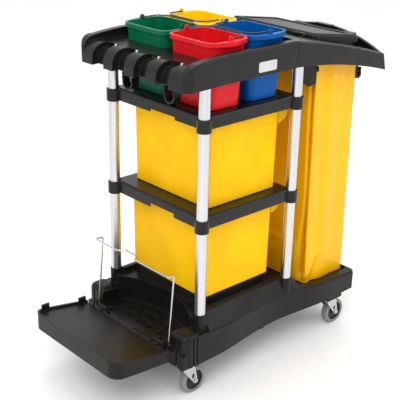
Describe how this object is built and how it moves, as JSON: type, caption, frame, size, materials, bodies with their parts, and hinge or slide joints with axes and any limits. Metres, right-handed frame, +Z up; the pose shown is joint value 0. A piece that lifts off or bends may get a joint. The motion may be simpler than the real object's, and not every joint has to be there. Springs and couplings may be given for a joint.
{
  "type": "housekeeping cart",
  "caption": "Housekeeping cart on swivel casters with two shelves on tubular posts, lift-out pails and tubs, a lidded collection bag, a tool deck and a fold-down bucket platform.",
  "frame": {"origin": "on the floor, under the middle of the cart's length with its platform down, on its centre line", "axes": "+X towards the bag end, +Y towards the far side, +Z up"},
  "size_m": [1.2404, 0.559, 1.244],
  "materials": {
    "black_base": "moulded, satin",
    "black_shelf": "moulded, satin",
    "black_deck": "moulded, satin",
    "black_lid": "moulded, satin",
    "black_platform": "moulded, satin",
    "black_trim": "moulded, satin",
    "aluminium_post": "anodised, satin",
    "zinc": "zinc plated",
    "steel_pin": "plain",
    "wire": "chrome plated wire",
    "black_wire": "coated wire",
    "black_hub": "moulded",
    "grey_tread": "non-marking",
    "yellow_tub": "moulded, semi-gloss",
    "yellow_vinyl": "glossy vinyl",
    "green_plastic": "moulded, semi-gloss",
    "red_plastic": "moulded, semi-gloss",
    "yellow_plastic": "moulded, semi-gloss",
    "blue_plastic": "moulded, semi-gloss",
    "plate": "blank plate"
  },
  "bodies": {
    "frame": {"base": "black_base", "middle_shelf": "black_shelf", "upper_shelf": "black_shelf", "top_deck": "black_deck", "name_plate": "plate", "tool_pegs": "black_trim", "collection_bag": "yellow_vinyl", "caster_screws": "zinc", "platform_hinge_pins": "steel_pin", "lid_hinge_pins": "steel_pin", "bag_tab_near": "black_trim", "bag_hook_near": "black_trim", "tool_bracket_near": "black_trim", "post_near_mop": "aluminium_post", "caster_plate_near_mop": "zinc", "post_near_bag": "aluminium_post", "caster_plate_near_bag": "zinc", "bag_tab_far": "black_trim", "bag_hook_far": "black_trim", "tool_bracket_far": "black_trim", "post_far_mop": "aluminium_post", "caster_plate_far_mop": "zinc", "post_far_bag": "aluminium_post", "caster_plate_far_bag": "zinc"},
    "caster_near_mop": {"caster_fork_near_mop": "zinc", "caster_axle_near_mop": "zinc"},
    "wheel_near_mop": {"wheel_hub_near_mop": "black_hub", "wheel_tread_near_mop": "grey_tread"},
    "caster_near_bag": {"caster_fork_near_bag": "zinc", "caster_axle_near_bag": "zinc"},
    "wheel_near_bag": {"wheel_hub_near_bag": "black_hub", "wheel_tread_near_bag": "grey_tread"},
    "caster_far_mop": {"caster_fork_far_mop": "zinc", "caster_axle_far_mop": "zinc"},
    "wheel_far_mop": {"wheel_hub_far_mop": "black_hub", "wheel_tread_far_mop": "grey_tread"},
    "caster_far_bag": {"caster_fork_far_bag": "zinc", "caster_axle_far_bag": "zinc"},
    "wheel_far_bag": {"wheel_hub_far_bag": "black_hub", "wheel_tread_far_bag": "grey_tread"},
    "pail_green": {"pail_green": "green_plastic"},
    "pail_handle_green": {"pail_handle_green": "black_wire"},
    "pail_red": {"pail_red": "red_plastic"},
    "pail_handle_red": {"pail_handle_red": "black_wire"},
    "pail_yellow": {"pail_yellow": "yellow_plastic"},
    "pail_handle_yellow": {"pail_handle_yellow": "black_wire"},
    "pail_blue": {"pail_blue": "blue_plastic"},
    "pail_handle_blue": {"pail_handle_blue": "black_wire"},
    "lower_tub": {"lower_tub": "yellow_tub"},
    "upper_tub": {"upper_tub": "yellow_tub"},
    "bag_lid": {"bag_lid": "black_lid"},
    "folding_platform": {"folding_platform": "black_platform"},
    "latch_bail": {"latch_bail": "wire"}
  },
  "joints": [
    {"name": "swivel_near_mop", "type": "hinge", "parent": "frame", "child": "caster_near_mop", "pos_m": [-0.31475, -0.235, 0.122], "axis": [0, 0, 1], "continuous": true},
    {"name": "wheel_spin_near_mop", "type": "hinge", "parent": "caster_near_mop", "child": "wheel_near_mop", "pos_m": [-0.27975, -0.235, 0.0508], "axis": [0, 1, 0], "continuous": true},
    {"name": "swivel_near_bag", "type": "hinge", "parent": "frame", "child": "caster_near_bag", "pos_m": [0.44625, -0.235, 0.122], "axis": [0, 0, 1], "continuous": true},
    {"name": "wheel_spin_near_bag", "type": "hinge", "parent": "caster_near_bag", "child": "wheel_near_bag", "pos_m": [0.48125, -0.235, 0.0508], "axis": [0, 1, 0], "continuous": true},
    {"name": "swivel_far_mop", "type": "hinge", "parent": "frame", "child": "caster_far_mop", "pos_m": [-0.31475, 0.235, 0.122], "axis": [0, 0, 1], "continuous": true},
    {"name": "wheel_spin_far_mop", "type": "hinge", "parent": "caster_far_mop", "child": "wheel_far_mop", "pos_m": [-0.27975, 0.235, 0.0508], "axis": [0, 1, 0], "continuous": true},
    {"name": "swivel_far_bag", "type": "hinge", "parent": "frame", "child": "caster_far_bag", "pos_m": [0.44625, 0.235, 0.122], "axis": [0, 0, 1], "continuous": true},
    {"name": "wheel_spin_far_bag", "type": "hinge", "parent": "caster_far_bag", "child": "wheel_far_bag", "pos_m": [0.48125, 0.235, 0.0508], "axis": [0, 1, 0], "continuous": true},
    {"name": "pail_lift_green", "type": "slide", "parent": "frame", "child": "pail_green", "axis": [0, 0, 1], "range_m": [0, 0.26]},
    {"name": "pail_handle_swing_green", "type": "hinge", "parent": "pail_green", "child": "pail_handle_green", "pos_m": [-0.12825, 0.117, 1.235], "axis": [0, -1, 0], "range_deg": [0, 180]},
    {"name": "pail_lift_red", "type": "slide", "parent": "frame", "child": "pail_red", "axis": [0, 0, 1], "range_m": [0, 0.26]},
    {"name": "pail_handle_swing_red", "type": "hinge", "parent": "pail_red", "child": "pail_handle_red", "pos_m": [-0.12825, -0.117, 1.235], "axis": [0, -1, 0], "range_deg": [0, 180]},
    {"name": "pail_lift_yellow", "type": "slide", "parent": "frame", "child": "pail_yellow", "axis": [0, 0, 1], "range_m": [0, 0.26]},
    {"name": "pail_handle_swing_yellow", "type": "hinge", "parent": "pail_yellow", "child": "pail_handle_yellow", "pos_m": [0.05275, 0.117, 1.235], "axis": [0, 1, 0], "range_deg": [0, 180]},
    {"name": "pail_lift_blue", "type": "slide", "parent": "frame", "child": "pail_blue", "axis": [0, 0, 1], "range_m": [0, 0.26]},
    {"name": "pail_handle_swing_blue", "type": "hinge", "parent": "pail_blue", "child": "pail_handle_blue", "pos_m": [0.05275, -0.117, 1.235], "axis": [0, 1, 0], "range_deg": [0, 180]},
    {"name": "upper_tub_slide", "type": "slide", "parent": "frame", "child": "upper_tub", "axis": [-1, 0, 0], "range_m": [0, 0.36]},
    {"name": "lower_tub_slide", "type": "slide", "parent": "frame", "child": "lower_tub", "axis": [-1, 0, 0], "range_m": [0, 0.09]},
    {"name": "bag_lid_hinge", "type": "hinge", "parent": "frame", "child": "bag_lid", "pos_m": [0.27925, 0, 1.185], "axis": [0, -1, 0], "range_deg": [0, 110]},
    {"name": "platform_fold", "type": "hinge", "parent": "frame", "child": "folding_platform", "pos_m": [-0.36875, 0, 0.2], "axis": [0, 1, 0], "range_deg": [0, 52]},
    {"name": "latch_bail_swing", "type": "hinge", "parent": "frame", "child": "latch_bail", "pos_m": [-0.35875, 0, 0.2], "axis": [0, -1, 0], "range_deg": [0, 20]}
  ]
}
